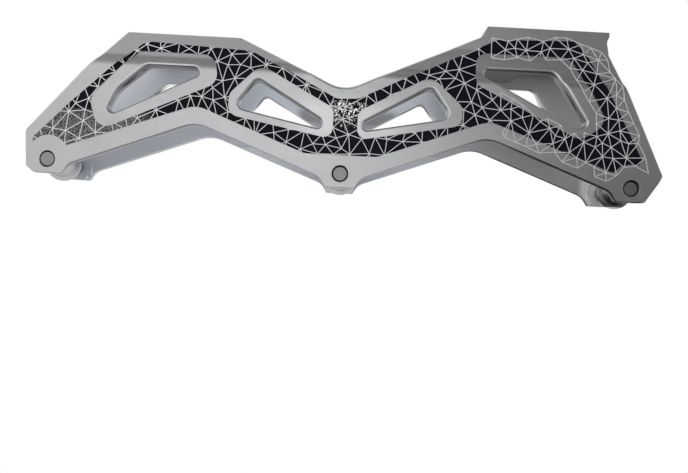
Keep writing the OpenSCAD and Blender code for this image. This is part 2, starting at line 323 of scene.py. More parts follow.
# %% [markdown]
# ## Satin aluminium
# Anodised aluminium has a silky, even grey. It is a metal, so its colour is the colour of its reflection,
# and a fairly high roughness spreads that reflection out. Long faint streaks follow the extrusion, so the
# grain is stretched along the frame. Machined edges are a little brighter, which an attribute on the mesh
# marks. The metal beside the sprinkle in the middle of the print gets a painted glow. On the printed wall,
# faces that look down carry painted shade, and the tops of the windows in the other wall carry a painted
# highlight.
#
# The faces between the walls are less metallic and painted paler, which stands in for the light that
# reaches them. Their other tones are painted light and shade too: painted light behind the windows and
# round the rear axle, painted shade at the inner tips of the middle windows, at the heel and under the
# decks.

# %% Tones and regions of the frame
# Every tone after the machined one is painted light and shade, not a colour of the metal: a glow beside the
# middle sprinkle, shade under downward faces, a highlight on the far window tops, and the tones between the
# walls.
GREY = {
    "plain": (0.5, 0.505, 0.51, 1),
    "clouded": (0.56, 0.565, 0.57, 1),
    "streak": (0.47, 0.475, 0.48, 1),
    "machined": (0.63, 0.635, 0.64, 1),
    "painted glow": (0.78, 0.785, 0.79, 1),
    "painted underside shade": (0.2, 0.2, 0.21, 1),
    "painted window-top highlight": (0.92, 0.92, 0.93, 1),
    "painted light inside": (0.62, 0.64, 0.68, 1),
    "painted light behind windows": (0.8, 0.83, 0.88, 1),
    "painted shade at heel": (0.54, 0.545, 0.55, 1),
    "painted shade at window tips": (0.42, 0.42, 0.43, 1),
    "painted light on rear boss": (0.98, 0.98, 0.99, 1),
    "painted shade under decks": (0.3, 0.3, 0.31, 1),
}
# The printed wall and the space between the walls only pick out places; every other region sets where light
# and shade are painted.
REGIONS = {
    "painted glow": [("X", 50, 62), ("X", 110, 96), ("Z", -46, -38), ("Z", -22, -30)],
    "printed wall": [("Y", 14.5, 13)],
    "painted window-top highlight": [("Y", 13, 14.5), ("Z", -30, -26)],
    "between walls": [("Y", -15.4, -14.4), ("Y", 15.4, 14.4), ("Z", -1, -5)],
    "painted light behind windows": [("X", -75, 30), ("Z", -37, -29)],
    "painted shade at heel": [("X", 105, 150)],
    "painted shade at window tips": [("X", 53, 57), ("X", 104, 100), ("Z", -33, -29), ("Z", -22, -25)],
    "painted light on rear boss": [("X", 192, 195), ("Z", -42, -46)],
    "painted shade under decks": [("Z", -32, -26)],
}
print("tones:", len(GREY), "regions:", len(REGIONS))

# %% Material for the frame
STREAK_STRETCH = (0.06, 1.0, 1.0)
STREAK_SHARE = 0.25
PAINTED_GLOW_SHARE = 0.55
DOWN_START = -0.3
DOWN_END = -0.8
INNER_DULL = 0.45
BOSS_DULL = 0.9
SATIN_ROUGH = (0.42, 0.52)

satin, tree, bsdf = new_material("satin_aluminium")
coords = node(tree, "ShaderNodeTexCoord")
where = {name: region(tree, coords, ramps) for name, ramps in REGIONS.items()}
facing = node(tree, "ShaderNodeSeparateXYZ")
tree.links.new(coords.outputs["Normal"], facing.inputs["Vector"])
down = ramped(tree, facing.outputs["Z"], DOWN_START, DOWN_END)
lengthwise = node(tree, "ShaderNodeMapping", Scale=STREAK_STRETCH)
tree.links.new(coords.outputs["Object"], lengthwise.inputs["Vector"])
streaks = placed_group(tree, grain, lengthwise.outputs["Vector"], Fine=5200.0, Broad=240.0)
clouds = placed_group(tree, grain, coords.outputs["Object"], Fine=9000.0, Broad=45.0)
machined = node(tree, "ShaderNodeAttribute", attribute_name="machined")
# Past the grain and the machined edges, these layers are painted: a glow in the middle, shade on faces that
# look down on the printed wall, and a highlight on the far window tops.
outer_grey_with_painted_light = layered(tree, GREY["plain"], [
    (from_noise(tree, clouds.outputs["Broad"]), GREY["clouded"]),
    (from_noise(tree, streaks.outputs["Broad"], high=STREAK_SHARE), GREY["streak"]),
    (machined.outputs["Fac"], GREY["machined"]),
    (times(tree, where["painted glow"], PAINTED_GLOW_SHARE), GREY["painted glow"]),
    (times(tree, down, where["printed wall"]), GREY["painted underside shade"]),
    (times(tree, down, where["painted window-top highlight"]), GREY["painted window-top highlight"]),
])
# Every inner tone is painted light and shade: a paler base, light behind the windows and on the rear boss,
# and shade at the heel, at the window tips and under the decks.
inner_painted_grey = layered(tree, GREY["painted light inside"], [
    (where["painted light behind windows"], GREY["painted light behind windows"]),
    (where["painted shade at heel"], GREY["painted shade at heel"]),
    (where["painted shade at window tips"], GREY["painted shade at window tips"]),
    (where["painted light on rear boss"], GREY["painted light on rear boss"]),
    (times(tree, down, where["painted shade under decks"]), GREY["painted shade under decks"]),
])
inner = where["between walls"]
tree.links.new(mixed(tree, inner, outer_grey_with_painted_light, inner_painted_grey), bsdf.inputs["Base Color"])
dull = ramped(tree, where["painted light on rear boss"], 0.0, 1.0, INNER_DULL, BOSS_DULL)
metal = node(tree, "ShaderNodeMath", operation="SUBTRACT")
metal.inputs[0].default_value = 1.0
tree.links.new(times(tree, inner, dull), metal.inputs[1])
tree.links.new(metal.outputs["Value"], bsdf.inputs["Metallic"])
tree.links.new(from_noise(tree, streaks.outputs["Fine"], *SATIN_ROUGH), bsdf.inputs["Roughness"])
bumped(tree, bsdf, clouds.outputs["Fine"], strength=0.08, distance=0.0001)
print("frame finish:", satin.name, "with", len(tree.nodes), "nodes")

# %% [markdown]
# ## The frame, with its edges broken
# The real frame is extruded, then milled and tumbled, so no edge is knife sharp: the windows have a wide
# rolled lip, the tops a soft chamfer that widens on the saddle in the middle, and the feet a small break. A
# bevel would have to cross the many narrow faces of the wall's bends and tangle there. So each edge is
# milled instead: a closed ring with a rounded corner follows the rim, and a boolean takes it away. First
# the rims are found, by walking along the border of the outer faces.

# %% Find the rims of the outer faces
CAD_WELD = 0.002
SIDEWAYS = 0.5
RIM_DEPTH = 0.3
SAME_POINT = 0.08


def drawing(point):
    """The reverse of row(): a place in the model, read on the drawing."""
    return point.x / MM - FRONT_SLOT_X, point.y / MM, point.z / MM + FRONT_DECK_H


def cad_copy(name):
    bm = bmesh.new()
    bm.from_mesh(frame["nodes"][name].data)
    bmesh.ops.remove_doubles(bm, verts=bm.verts, dist=CAD_WELD * MM)
    return bm


def is_outer(face):
    x, y, z = drawing(face.calc_center_median())
    return abs(face.normal.y) > SIDEWAYS and abs(y) > wall_half(x, z) - RIM_DEPTH


def rims(bm):
    """Closed chains of points round the outer faces, with the metal on the left as seen from outside."""
    following = {}
    for edge in bm.edges:
        outer = [f for f in edge.link_faces if is_outer(f)]
        if len(outer) == 1:
            corner = next(c for c in outer[0].loops if c.edge == edge)
            following[corner.vert] = corner.link_loop_next.vert
    chains = []
    while following:
        chain = [next(iter(following))]
        while chain[-1] in following:
            chain.append(following.pop(chain[-1]))
        chains.append([Vector(drawing(v.co)) for v in chain[:-1]])
    return chains


def thinned(chain):
    """The chain without points that nearly coincide."""
    kept = [chain[0]]
    for point in chain[1:]:
        if (point - kept[-1]).length > SAME_POINT:
            kept.append(point)
    return kept if (kept[-1] - kept[0]).length > SAME_POINT else kept[:-1]


blank_bm = cad_copy("frame_body")
found = [thinned(chain) for chain in rims(blank_bm)]
print("rims:", sorted(len(chain) for chain in found))

# %% [markdown]
# How wide an edge is broken depends on what its rim goes round. The long rim goes round a whole wall, low
# ones round the axle holes, and the others round windows. Where a rim turns sharply, a wide ring would fold
# over itself, so its width is held back there.

# %% Widths of the broken edges
WINDOW_LIP = 1.3
TOP_CHAMFER = 0.9
SADDLE_CHAMFER = 1.9
SADDLE_END = 22
SADDLE_RAMP = 12
EDGE_BREAK = 0.4
HOLE_BREAK = 0.35
WHOLE_WALL_L = 100
HOLE_TOP_H = 10
TOP_FROM_H = 30
LOOKS_UP = -0.4
SHARPEST_TURN = 0.3
FOLD_MARGIN = 0.8


def rim_width(chain, i, inward):
    xs = [p.x for p in chain]
    if max(xs) - min(xs) > WHOLE_WALL_L:
        faces_up = inward.z < LOOKS_UP and chain[i].z > TOP_FROM_H
        if not faces_up:
            return EDGE_BREAK
        saddle = min(1, max(0, (SADDLE_END - abs(chain[i].x)) / SADDLE_RAMP))
        return TOP_CHAMFER + (SADDLE_CHAMFER - TOP_CHAMFER) * saddle
    middle_height = sum(p.z for p in chain) / len(chain)
    return WINDOW_LIP if middle_height > HOLE_TOP_H else HOLE_BREAK


def inward_steps(chain, side):
    """At each point, the step into the metal that lies one millimetre from both neighbouring edges."""
    outward = Vector((0, -side, 0))
    edges = [after - point for point, after in zip(chain, chain[1:] + chain[:1])]
    ahead = [edge.cross(outward).normalized() for edge in edges]
    steps = []
    for i in range(len(chain)):
        both = ahead[i - 1] + ahead[i]
        both.y = 0
        steps.append(both / max(SHARPEST_TURN, 1 + ahead[i - 1].dot(ahead[i])))
    return steps


def widths(chain, steps):
    count = len(chain)
    wide = [rim_width(chain, i, steps[i]) for i in range(count)]
    for i in range(count):
        j = (i + 1) % count
        edge = chain[j] - chain[i]
        shrink = -(steps[j] - steps[i]).dot(edge.normalized())
        if shrink > 0:
            limit = FOLD_MARGIN * edge.length / shrink
            wide[i], wide[j] = min(wide[i], limit), min(wide[j], limit)
    return wide


print("broken edges in mm: lip", WINDOW_LIP, "top", TOP_CHAMFER, "saddle", SADDLE_CHAMFER)

# %% [markdown]
# A ring is a row of loops, all drawn from the same rim: some lie on the new rounded corner, and three close
# the ring outside the metal. The ring's faces are marked as machined, and the boolean hands that mark on to
# the faces that it cuts.

# %% Make the milling rings
CORNER_STEPS = 4
OVERCUT = 0.04
OUTSIDE = 0.5


def section(wide):
    """How far each corner of the ring's section lies in from the rim, and how deep under the face."""
    turns = [math.pi / 2 * k / CORNER_STEPS for k in range(CORNER_STEPS + 1)]
    corner = [(wide * (1 - math.sin(t)) - OVERCUT, wide * (1 - math.cos(t)) - OVERCUT) for t in turns]
    return corner + [(-OUTSIDE, wide - OVERCUT), (-OUTSIDE, -OUTSIDE), (wide - OVERCUT, -OUTSIDE)]


def add_ring(bm, chain):
    side = 1 if chain[0].y > 0 else -1
    steps = inward_steps(chain, side)
    spokes = []
    for point, step, wide in zip(chain, steps, widths(chain, steps)):
        spoke = []
        for inset, depth in section(wide):
            x, z = point.x + step.x * inset, point.z + step.z * inset
            spoke.append(bm.verts.new(row(x, side * (wall_half(x, z) - depth), z)))
        spokes.append(spoke)
    for spoke, after in zip(spokes, spokes[1:] + spokes[:1]):
        for k in range(len(spoke)):
            bm.faces.new([spoke[k], after[k], after[k - 1], spoke[k - 1]])


rings_bm = bmesh.new()
for chain in found:
    add_ring(rings_bm, chain)
bmesh.ops.recalc_face_normals(rings_bm, faces=rings_bm.faces)
mark = rings_bm.faces.layers.float.new("machined")
for face in rings_bm.faces:
    face[mark] = 1.0
print("rings:", len(found), "with", len(rings_bm.faces), "faces")

# %% Mill the frame
MILL_WELD = 0.004
SLIVER = 0.002
FLAT_ANGLE = 0.4


def mesh_object(bm, name):
    mesh = bpy.data.meshes.new(name)
    bm.to_mesh(mesh)
    bm.free()
    made = bpy.data.objects.new(name, mesh)
    scene.collection.objects.link(made)
    return made


blank_bm.faces.layers.float.new("machined")
blank = mesh_object(blank_bm, "blank")
cutter = mesh_object(rings_bm, "cutter")
milling = blank.modifiers.new("milling", "BOOLEAN")
milling.operation = "DIFFERENCE"
milling.solver = "EXACT"
milling.object = cutter
milled = bpy.data.meshes.new_from_object(blank.evaluated_get(bpy.context.evaluated_depsgraph_get()))
for tool in (blank, cutter):
    bpy.data.objects.remove(tool)
frame_bm = bmesh.new()
frame_bm.from_mesh(milled)
bmesh.ops.remove_doubles(frame_bm, verts=frame_bm.verts, dist=MILL_WELD * MM)
bmesh.ops.dissolve_degenerate(frame_bm, dist=SLIVER * MM, edges=frame_bm.edges)
bmesh.ops.dissolve_limit(
    frame_bm, angle_limit=math.radians(FLAT_ANGLE), verts=frame_bm.verts, edges=frame_bm.edges
)
print("milled frame:", len(frame_bm.faces), "faces,", round(frame_bm.calc_volume() / MM ** 3), "cubic mm")

# %% Place the frame
SHARP_ANGLE = 30


def piece_from(bm, name, material, body):
    piece = mesh_object(bm, name)
    piece.data.materials.append(material)
    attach(piece, body)
    return piece


for face in frame_bm.faces:
    face.smooth = True
frame_piece = piece_from(frame_bm, "frame_metal", satin, "frame")
frame_piece.data.set_sharp_from_angle(angle=math.radians(SHARP_ANGLE))
weights = frame_piece.modifiers.new("flat faces stay flat", "WEIGHTED_NORMAL")
weights.keep_sharp = True
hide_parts("frame_body")
print("frame faces:", len(frame_piece.data.polygons))

# %% [markdown]
# ## The printed side
# The print is a black ground with a net of thin pale lines. The ground is the CAD film itself. The net is
# drawn by scattering points and joining them with a Delaunay triangulation, which never crosses its own
# lines. Each line is then a thin strip, cut where the ground ends, and bent over the wall's crease.

# %% Outlines of the print
PRINT_EDGE = [
    (-135.5, 6.2, 0), (-119.6, 6.2, 4), (-64, 26.4, 12), (-16, 8, 8), (16, 8, 8), (64, 26, 12),
    (120, 6.2, 3), (122.4, 9.4, 2), (130.4, 10, 1), (131.8, 12.4, 1), (110, 50.6, 10), (106, 57.5, 5),
    (100, 63.5, 2), (66.4, 62.4, 4), (6.5, 32.7, 6), (-3, 32.2, 6), (-41.25, 51.6, 8),
    (-87.45, 53.5, 8), (-135, 9.5, 1),
]
FRONT_BARE = [(21.2, 12.9, 7), (73.2, 36.3, 6), (71.5, 49, 7), (38.5, 49, 6), (17.8, 27.8, 7)]
SECOND_BARE = [(-50.2, 23.1, 5), (-4.2, 14.7, 4), (-4, 28, 5), (-36.5, 45.2, 6), (-49.8, 32.2, 5)]
THIRD_BARE = [(6.6, 14.8, 4), (52.3, 23.3, 5), (51.8, 31.6, 5), (37.6, 44, 6), (6.4, 27.2, 5)]
REAR_BARE = [(-71, 41.6, 4), (-24, 19.6, 6), (-12.2, 27.5, 6), (-29.5, 56.2, 7), (-70.8, 56.2, 5)]
HOLE_BARE_R = 10.5
CIRCLE_POINTS = 40


def shifted(corners, x):
    return [(cx + x, cz, r) for cx, cz, r in corners]


def circle(x, r):
    bm = bmesh.new()
    ring = bmesh.ops.create_circle(bm, segments=CIRCLE_POINTS, radius=r)["verts"]
    points = [(v.co.x + x, v.co.y) for v in ring]
    bm.free()
    return points


ground_edge = rounded(PRINT_EDGE)
bare = [
    rounded(shifted(FRONT_BARE, -AXLE_PITCH)),
    rounded(SECOND_BARE),
    rounded(THIRD_BARE),
    rounded(shifted(REAR_BARE, AXLE_PITCH)),
    circle(-AXLE_PITCH, HOLE_BARE_R),
    circle(AXLE_PITCH, HOLE_BARE_R),
]
print("print outline:", len(ground_edge), "points, bare places:", len(bare))

# %% [markdown]
# The net is denser at the heel, and there it has a ragged border of its own. So points are first set along
# that border and round the heel window, each moved by chance, and the rest are scattered wherever they stay
# clear of the others. A line that would only close a notch in the ragged border is left out.

# %% Scatter the net's points
NET_SEED = 11
NET_TRIES = 9000
NET_X = (-140, 140)
NET_Z = (0, 68)
NET_GAP = 5.5
HEEL_GAP = 4.4
GAP_SPREAD = (0.75, 1.35)
HEEL_START = 62
BORDER_GAP = 5.5
BORDER_SPREAD = (0.8, 1.25)
BORDER_JAG = -4.5
WINDOW_JAG = 2.0
HEEL_BORDER = [
    (62, 64.5), (109, 65.5), (113, 62), (118, 50), (124.5, 37.8), (131.8, 22.2), (137.5, 8.5), (134, 3),
    (119, 1.5), (104, 7.2), (85, 13.4), (66, 21),
]
HEEL_BARE = [(-69, 43, 3), (-24.4, 22, 4), (-16, 26.6, 5), (-31.6, 53.4, 6), (-69, 53.4, 3)]
# The kind of result that is plain triangles over all points
TRIANGLES = 0
NET_TOLERANCE = 1e-6
dice = random.Random(NET_SEED)


def points_along(path, jag):
    """Points along a path, about one gap apart, each moved away from the path's middle by part of jag."""
    corners = [Vector(p) for p in path]
    middle = sum(corners, Vector((0, 0))) / len(corners)
    points, ahead = [], 0.0
    for a, b in zip(corners, corners[1:]):
        while ahead < (b - a).length:
            spot = a.lerp(b, ahead / (b - a).length)
            points.append(spot + (spot - middle).normalized() * jag * dice.uniform(0.0, 1.0))
            ahead += BORDER_GAP * dice.uniform(*BORDER_SPREAD)
        ahead -= (b - a).length
    return points


heel_window = rounded(shifted(HEEL_BARE, AXLE_PITCH))
net_points = points_along(HEEL_BORDER, BORDER_JAG)
border_count = len(net_points)
net_points += points_along(heel_window + heel_window[:1], WINDOW_JAG)
for attempt in range(NET_TRIES):
    spot = Vector((dice.uniform(*NET_X), dice.uniform(*NET_Z)))
    gap = (HEEL_GAP if spot.x > HEEL_START else NET_GAP) * dice.uniform(*GAP_SPREAD)
    if all((spot - other).length > gap for other in net_points):
        net_points.append(spot)
joints, edges = delaunay_2d_cdt(net_points, [], [], TRIANGLES, NET_TOLERANCE)[:2]
net_lines = []
for a, b in edges:
    closes_a_notch = max(a, b) < border_count and abs(a - b) == 2
    if not closes_a_notch:
        net_lines.append((joints[a], joints[b]))
print("net:", len(net_points), "points,", len(net_lines), "lines")

# %% [markdown]
# At the heel the pale lines were printed a little past the black, onto the bare metal. So lines whose two
# ends lie in that zone are kept whole, unless they hang from the net at one end only. All others end with
# the black ground.

# %% Sort the lines
HEEL_HOLE_R = 6.5
free_bare = [heel_window, circle(AXLE_PITCH, HEEL_HOLE_R)]


def inside(point, polygon):
    hit = False
    for (x0, z0), (x1, z1) in zip(polygon, polygon[1:] + polygon[:1]):
        crosses = (z0 > point.y) != (z1 > point.y)
        if crosses and point.x < x0 + (x1 - x0) * (point.y - z0) / (z1 - z0):
            hit = not hit
    return hit


def may_overhang(point):
    return inside(point, HEEL_BORDER) and not any(inside(point, outline) for outline in free_bare)


free_lines = [(a, b) for a, b in net_lines if may_overhang(a) and may_overhang(b)]
ends = Counter(tuple(end) for line in free_lines for end in line)
free_lines = [(a, b) for a, b in free_lines if min(ends[tuple(a)], ends[tuple(b)]) > 1]
tied_lines = [line for line in net_lines if line not in free_lines]
print("lines that end with the black:", len(tied_lines), "lines kept whole:", len(free_lines))

# %% [markdown]
# One triangulation takes all outlines together: the ground, the bare places and every strip. It says for
# each small face which outlines it came from, so the faces of the lines can be picked out afterwards.

# %% Cut the net to the print
LINE_W = 0.31
# The kind of result that is the outlines cut at their crossings, in faces that a mesh can hold
VALID_FACES = 4
CUT_TOLERANCE = 1e-5


def counter_clockwise(outline):
    """The triangulation takes an outline's left side as its inside."""
    corners = [Vector(p) for p in outline]
    area = sum(a.x * b.y - b.x * a.y for a, b in zip(corners, corners[1:] + corners[:1]))
    return corners if area > 0 else corners[::-1]


def strip(a, b):
    side = Vector((a.y - b.y, b.x - a.x)).normalized() * LINE_W / 2
    return [a + side, b + side, b - side, a - side]


outlines = [ground_edge] + bare + free_bare
first_tied = len(outlines)
outlines += [strip(a, b) for a, b in tied_lines]
first_free = len(outlines)
outlines += [strip(a, b) for a, b in free_lines]
points, loops = [], []
for outline in outlines:
    loops.append(list(range(len(points), len(points) + len(outline))))
    points += counter_clockwise(outline)
cut_net = delaunay_2d_cdt(points, [], loops, VALID_FACES, CUT_TOLERANCE)
cut_points, _, cut_faces, _, _, from_outlines = cut_net
tied_bare = set(range(1, 1 + len(bare)))
whole_bare = set(range(1 + len(bare), first_tied))
line_faces = []
for loop, sources in zip(cut_faces, from_outlines):
    sources = set(sources)
    in_tied = any(first_tied <= s < first_free for s in sources)
    in_free = any(s >= first_free for s in sources)
    tied = in_tied and 0 in sources and not sources & tied_bare
    free = in_free and not sources & whole_bare
    if tied or free:
        line_faces.append(loop)
print("line faces:", len(line_faces), "of", len(cut_faces))

# %% [markdown]
# The lines are still flat. They are cut at every height where the wall bends, and where the nose starts to
# taper, so that each bit lies on one flat part of the wall. Then every point moves out to the wall, and the
# faces are pulled out to stand just above the black film.

# %% Bend the lines over the wall
LINE_TOP = 0.28
LINE_FLAT_ANGLE = 0.5
STRAIGHT_H = 40
lines_bm = bmesh.new()
verts = [lines_bm.verts.new((p.x, 0, p.y)) for p in cut_points]
for loop in line_faces:
    lines_bm.faces.new([verts[i] for i in loop])
loose = [v for v in lines_bm.verts if not v.link_faces]
bmesh.ops.delete(lines_bm, geom=loose, context="VERTS")
bmesh.ops.dissolve_limit(
    lines_bm, angle_limit=math.radians(LINE_FLAT_ANGLE), verts=lines_bm.verts, edges=lines_bm.edges
)
wall_slope = (wall_half(0, STRAIGHT_H) - wall_half(0, 0)) / STRAIGHT_H
nose_slope = (CREASE_HALF - NOSE_HALF) / NOSE_TAPER_L
taper_x = NOSE_X + (wall_half(0, 0) - NOSE_HALF) / nose_slope
cuts = [((0, 0, z), (0, 0, 1)) for z, half in WALL_FACE[1:-1]]
cuts.append(((taper_x, 0, 0), (nose_slope, 0, -wall_slope)))
for point, normal in cuts:
    everything = lines_bm.verts[:] + lines_bm.edges[:] + lines_bm.faces[:]
    bmesh.ops.bisect_plane(
        lines_bm, geom=everything, dist=CUT_TOLERANCE, plane_co=point, plane_no=normal
    )
for vert in lines_bm.verts:
    vert.co.y = -wall_half(vert.co.x, vert.co.z)
grown = bmesh.ops.extrude_face_region(lines_bm, geom=lines_bm.faces[:])["geom"]
tops = [g for g in grown if isinstance(g, bmesh.types.BMVert)]
bmesh.ops.translate(lines_bm, vec=(0, -LINE_TOP, 0), verts=tops)
for vert in lines_bm.verts:
    vert.co = row(*vert.co)
bmesh.ops.recalc_face_normals(lines_bm, faces=lines_bm.faces)
print("line mesh:", len(lines_bm.faces), "faces")

# %% [markdown]
# ## Inks
# Both inks are matt. The black ground turns to a grey green sprinkle near the toe, and white specks gather
# in the middle. The pale lines carry painted light and shade: they are painted brighter at the toe and
# darker toward the heel, as the light falls off. Regions of the frame come from Object coordinates, so each
# tone stays in its place on the frame.

# %% Ink of the ground
INK_ROUGH = 0.5
GROUND_GLOSS = 0.06
INK = {
    "black": (0.004, 0.0036, 0.0075, 1),
    "clouded black": (0.007, 0.0065, 0.012, 1),
    "toe": (0.014, 0.014, 0.014, 1),
    "toe speck": (0.2, 0.203, 0.192, 1),
    "white speck": (1.0, 0.99, 1.0, 1),
}
TOE_REGION = [("X", -6, -12), ("Z", -34.5, -37.5)]
SPLASH_REGION = [("X", 67, 73), ("X", 91, 85), ("Z", -46, -33), ("Z", -25, -27)]
SPLASH_AMOUNT = 0.265


def dress(name, material):
    """Give a CAD solid its material. Its shape is left alone."""
    mesh = frame["nodes"][name].data
    mesh.materials.clear()
    mesh.materials.append(material)


ground, tree, bsdf = new_material("print_ground")
bsdf.inputs["Roughness"].default_value = INK_ROUGH
bsdf.inputs["Specular IOR Level"].default_value = GROUND_GLOSS
coords = node(tree, "ShaderNodeTexCoord")
cloud = placed_group(tree, grain, coords.outputs["Object"], Fine=4000.0, Broad=70.0)
sprinkle = placed_group(tree, specks, coords.outputs["Object"], Scale=1700.0, Amount=0.34)
green = mixed(tree, sprinkle.outputs["Mask"], INK["toe"], INK["toe speck"])
splash = placed_group(tree, specks, coords.outputs["Object"], Scale=1100.0)
middle = region(tree, coords, SPLASH_REGION)
tree.links.new(times(tree, middle, SPLASH_AMOUNT), splash.inputs["Amount"])
ground_ink = layered(tree, INK["black"], [
    (from_noise(tree, cloud.outputs["Broad"]), INK["clouded black"]),
    (region(tree, coords, TOE_REGION), green),
    (splash.outputs["Mask"], INK["white speck"]),
])
tree.links.new(ground_ink, bsdf.inputs["Base Color"])
bumped(tree, bsdf, cloud.outputs["Fine"], strength=0.1, distance=0.00005)
dress("side_print", ground)
print("ink on side_print:", ground.name)

# %% Ink of the lines
LINE_GLOSS = 0.2
PALE = {
    "pale": (0.6, 0.6, 0.62, 1),
    "clouded pale": (0.7, 0.7, 0.71, 1),
    "toe": (0.76, 0.76, 0.78, 1),
    "heel": (0.52, 0.52, 0.53, 1),
}
pale, tree, bsdf = new_material("print_lines")
bsdf.inputs["Roughness"].default_value = INK_ROUGH
bsdf.inputs["Specular IOR Level"].default_value = LINE_GLOSS
coords = node(tree, "ShaderNodeTexCoord")
cloud = placed_group(tree, grain, coords.outputs["Object"], Fine=3000.0, Broad=120.0)
# Past the clouds, the lines carry painted light at the toe and painted shade toward the heel.
line_ink_with_painted_light = layered(tree, PALE["pale"], [
    (from_noise(tree, cloud.outputs["Broad"]), PALE["clouded pale"]),
    (region(tree, coords, [("X", 30, -10)]), PALE["toe"]),
    (region(tree, coords, [("X", 85, 165)]), PALE["heel"]),
])
tree.links.new(line_ink_with_painted_light, bsdf.inputs["Base Color"])
line_piece = piece_from(lines_bm, "print_net", pale, "frame")
print("ink on", line_piece.name + ":", pale.name)

# %% [markdown]
# ## Plated hardware
# Axle bolts and spacers are turned on a lathe and plated. The lathe leaves fine rings round the axle, which
# are bands along Y. The spacers are paler and duller than the bolts, and the bolts' cut ends are the
# darkest.

# %% Materials for the bolts and spacers
LATHE_STRETCH = (0.02, 1.0, 0.02)
CUT_END_REGION = [("Y", -14, -15)]
CUT_END = (0.3, 0.3, 0.31, 1)
CUT_END_ROUGH = 0.5


def turned_steel(name, colour, worn, low, high):
    """Plated steel with a clouded colour, and a roughness between low and high in rings."""
    material, tree, bsdf = new_material(name)
    bsdf.inputs["Metallic"].default_value = 1.0
    coords = node(tree, "ShaderNodeTexCoord")
    bands = node(tree, "ShaderNodeMapping", Scale=LATHE_STRETCH)
    tree.links.new(coords.outputs["Object"], bands.inputs["Vector"])
    marks = placed_group(tree, grain, bands.outputs["Vector"], Fine=9000.0, Broad=2500.0)
    cloud = placed_group(tree, grain, coords.outputs["Object"], Fine=4000.0, Broad=300.0)
    tip = region(tree, coords, CUT_END_REGION)
    steel = layered(tree, colour, [(from_noise(tree, cloud.outputs["Broad"]), worn), (tip, CUT_END)])
    tree.links.new(steel, bsdf.inputs["Base Color"])
    rough = node(tree, "ShaderNodeMath", operation="MAXIMUM")
    tree.links.new(from_noise(tree, marks.outputs["Broad"], low, high), rough.inputs[0])
    tree.links.new(times(tree, tip, CUT_END_ROUGH), rough.inputs[1])
    tree.links.new(rough.outputs["Value"], bsdf.inputs["Roughness"])
    bumped(tree, bsdf, marks.outputs["Fine"], strength=0.12, distance=0.00005)
    return material


axle_steel = turned_steel(
    "plated_axle", colour=(0.43, 0.44, 0.45, 1), worn=(0.36, 0.37, 0.38, 1), low=0.16, high=0.3
)
spacer_steel = turned_steel(
    "plated_spacer", colour=(0.54, 0.55, 0.56, 1), worn=(0.46, 0.47, 0.48, 1), low=0.42, high=0.54
)
for end in ("front", "middle", "rear"):
    dress(end + "_axle", axle_steel)
    dress(end + "_spacer", spacer_steel)
print("hardware finishes:", axle_steel.name, spacer_steel.name)

# %% [markdown]
# The thread of each bolt carries a dry blue patch that keeps it from turning loose. It is a soft plastic,
# brushed on, so it is rough, a little lumpy, and uneven in colour.

# %% Material for the thread patches
PATCH_ROUGH = 0.6
PATCH_BLUE = (0.02, 0.09, 0.42, 1)
PATCH_LIGHT_BLUE = (0.05, 0.16, 0.55, 1)
patch_plastic, tree, bsdf = new_material("thread_lock_blue")
bsdf.inputs["Roughness"].default_value = PATCH_ROUGH
coords = node(tree, "ShaderNodeTexCoord")
cloud = placed_group(tree, grain, coords.outputs["Object"], Fine=3500.0, Broad=900.0)
patch_blue = mixed(tree, from_noise(tree, cloud.outputs["Broad"]), PATCH_BLUE, PATCH_LIGHT_BLUE)
tree.links.new(patch_blue, bsdf.inputs["Base Color"])
bumped(tree, bsdf, cloud.outputs["Fine"], strength=0.3, distance=0.0001)
for end in ("front", "middle", "rear"):
    dress(end + "_thread_patch", patch_plastic)
print("patch finish:", patch_plastic.name)

# %% [markdown]
# ## Studio
# The photograph has a white ground. The camera looks from a little below the feet, so the floor is made
# one-sided: from below it is clear. In reflections the floor shows as plain white, because polished metal
# would otherwise mirror its shadows.

# %% Floor
WHITE = (1, 1, 1, 1)
FLOOR_SIZE = 3.0
FLOOR_GAP = 0.0002
FLOOR_PAPER = (0.9, 0.9, 0.9, 1)
FLOOR_MIRRORED = 0.95
PAPER_ROUGH = 0.9


def card(name, corners, colour, seen):
    """A sheet of paper. One that isn't seen shows only in reflections, and casts no shadow."""
    bm = bmesh.new()
    bm.faces.new([bm.verts.new(c) for c in corners])
    made = mesh_object(bm, name)
    material, tree, bsdf = new_material(name + "_paper")
    bsdf.inputs["Base Color"].default_value = colour
    bsdf.inputs["Roughness"].default_value = PAPER_ROUGH
    made.data.materials.append(material)
    made.visible_camera = made.visible_shadow = made.visible_diffuse = seen
    return tree, bsdf


def mixed_shader(tree, factor, first, second):
    made = node(tree, "ShaderNodeMixShader")
    for source, socket in zip((factor, first, second), made.inputs):
        tree.links.new(source, socket)
    return made.outputs["Shader"]


edge = FLOOR_SIZE / 2
floor_z = cad_low.z - FLOOR_GAP
floor_corners = [(x, y, floor_z) for x, y in ((-edge, -edge), (edge, -edge), (edge, edge), (-edge, edge))]
tree, bsdf = card("floor", floor_corners, FLOOR_PAPER, seen=True)
clear = node(tree, "ShaderNodeBsdfTransparent")
geometry = node(tree, "ShaderNodeNewGeometry")
shine = node(tree, "ShaderNodeEmission", Color=WHITE, Strength=FLOOR_MIRRORED)
path = node(tree, "ShaderNodeLightPath")
one_sided = mixed_shader(tree, geometry.outputs["Backfacing"], bsdf.outputs["BSDF"], clear.outputs["BSDF"])
paper = mixed_shader(tree, path.outputs["Is Glossy Ray"], one_sided, shine.outputs["Emission"])
tree.links.new(paper, tree.nodes["Material Output"].inputs["Surface"])
print("floor at", round(floor_z / MM, 1), "mm")

# %% [markdown]
# Metal shows what is around it, so cards stand where a photographer would put flags. They are seen only in
# reflections. At the right a black flag, a skirt under it and a mat on the floor give the heel its deeper
# grey. Overhead a grey, a dark and a nearly black card darken what the shoulders see.

